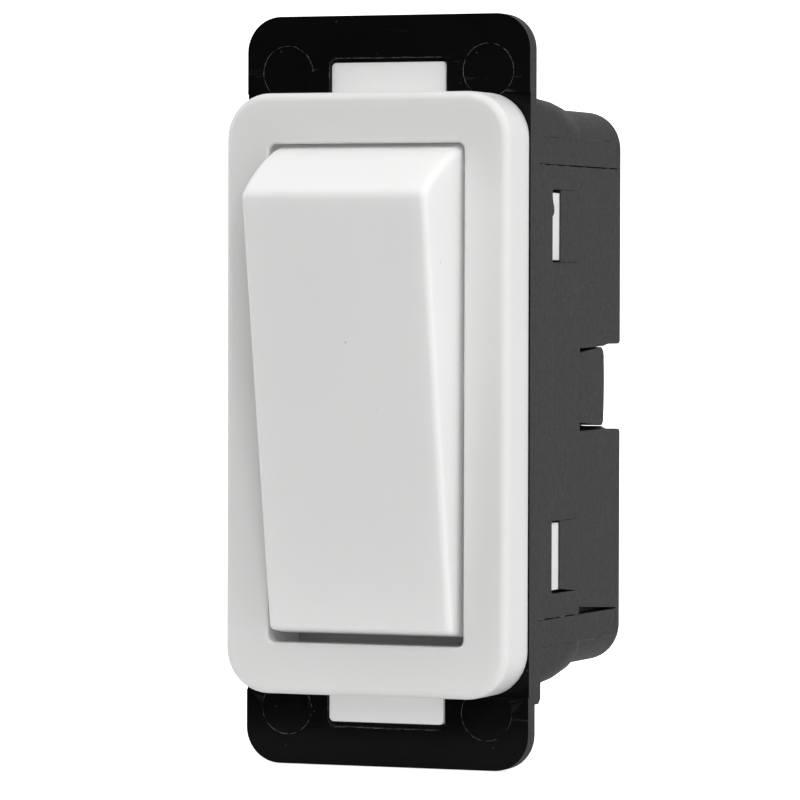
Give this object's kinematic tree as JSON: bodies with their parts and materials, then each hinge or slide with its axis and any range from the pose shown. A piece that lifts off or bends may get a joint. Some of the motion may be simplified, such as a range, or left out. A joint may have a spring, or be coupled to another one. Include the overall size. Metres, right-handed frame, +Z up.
{
  "type": "rocker wall switch",
  "caption": "Self-contained rocker wall switch with a tall rectangular rocker in a white frame, black strap and housing, and clamp terminals in its rear blocks.",
  "frame": {"origin": "centre of the strap's rear face, the face that lies against the wall", "axes": "+Y into the wall, +Z up, +X to the user's right; the user is on the -Y side"},
  "size_m": [0.0338, 0.0468, 0.0838],
  "materials": {
    "black_housing": "fine matte moulded grain, strap face smoother",
    "white_frame": "smooth satin white thermoplastic",
    "white_rocker": "smooth satin white thermoplastic",
    "natural_nylon": "translucent natural nylon",
    "spring_wire": "drawn spring wire",
    "brass": "rolled and stamped",
    "silver_contact": "dull silver alloy",
    "insulator": "moulded phenolic",
    "fibre": "vulcanised fibre sheet",
    "elastomer": "soft matte",
    "zinc_screw": "zinc plated",
    "zinc_plate": "zinc plated"
  },
  "bodies": {
    "housing": {"front_housing": "black_housing", "rear_housing": "black_housing", "mechanism_cover": "black_housing", "bezel_frame": "white_frame", "fixed_contact_tip": "silver_contact", "line_busbar": "brass", "load_busbar": "brass", "mechanism_base": "insulator", "arc_barrier": "fibre", "contact_stop": "elastomer", "line_terminal_block": "brass", "line_terminal_screws": "zinc_screw", "line_clamp_plates": "zinc_plate", "load_terminal_block": "brass", "load_terminal_screws": "zinc_screw", "load_clamp_plates": "zinc_plate"},
    "rocker_body": {"rocker": "white_rocker", "plunger_spring": "spring_wire"},
    "plunger_body": {"plunger": "natural_nylon"},
    "contact_body": {"contact_rocker": "brass", "moving_contact_tip": "silver_contact"}
  },
  "joints": [
    {"name": "rocker_tilt", "type": "hinge", "parent": "housing", "child": "rocker_body", "pos_m": [0, -0.0035, 0], "axis": [1, 0, 0], "range_deg": [-19.2, 0]},
    {"name": "contact_tilt", "type": "hinge", "parent": "housing", "child": "contact_body", "pos_m": [0, 0.0085, 0], "axis": [1, 0, 0], "range_deg": [0, 16]},
    {"name": "plunger_slide", "type": "slide", "parent": "rocker_body", "child": "plunger_body", "axis": [0, 0.986, 0.1668], "range_m": [-0.001, 0.0003], "stiffness_N_per_m": 400, "springref_m": 0.0003, "deforming": ["plunger_spring"]}
  ],
  "couplings": [
    {"joint": "contact_tilt", "follows": "rocker_tilt", "ratio": -0.8333}
  ]
}
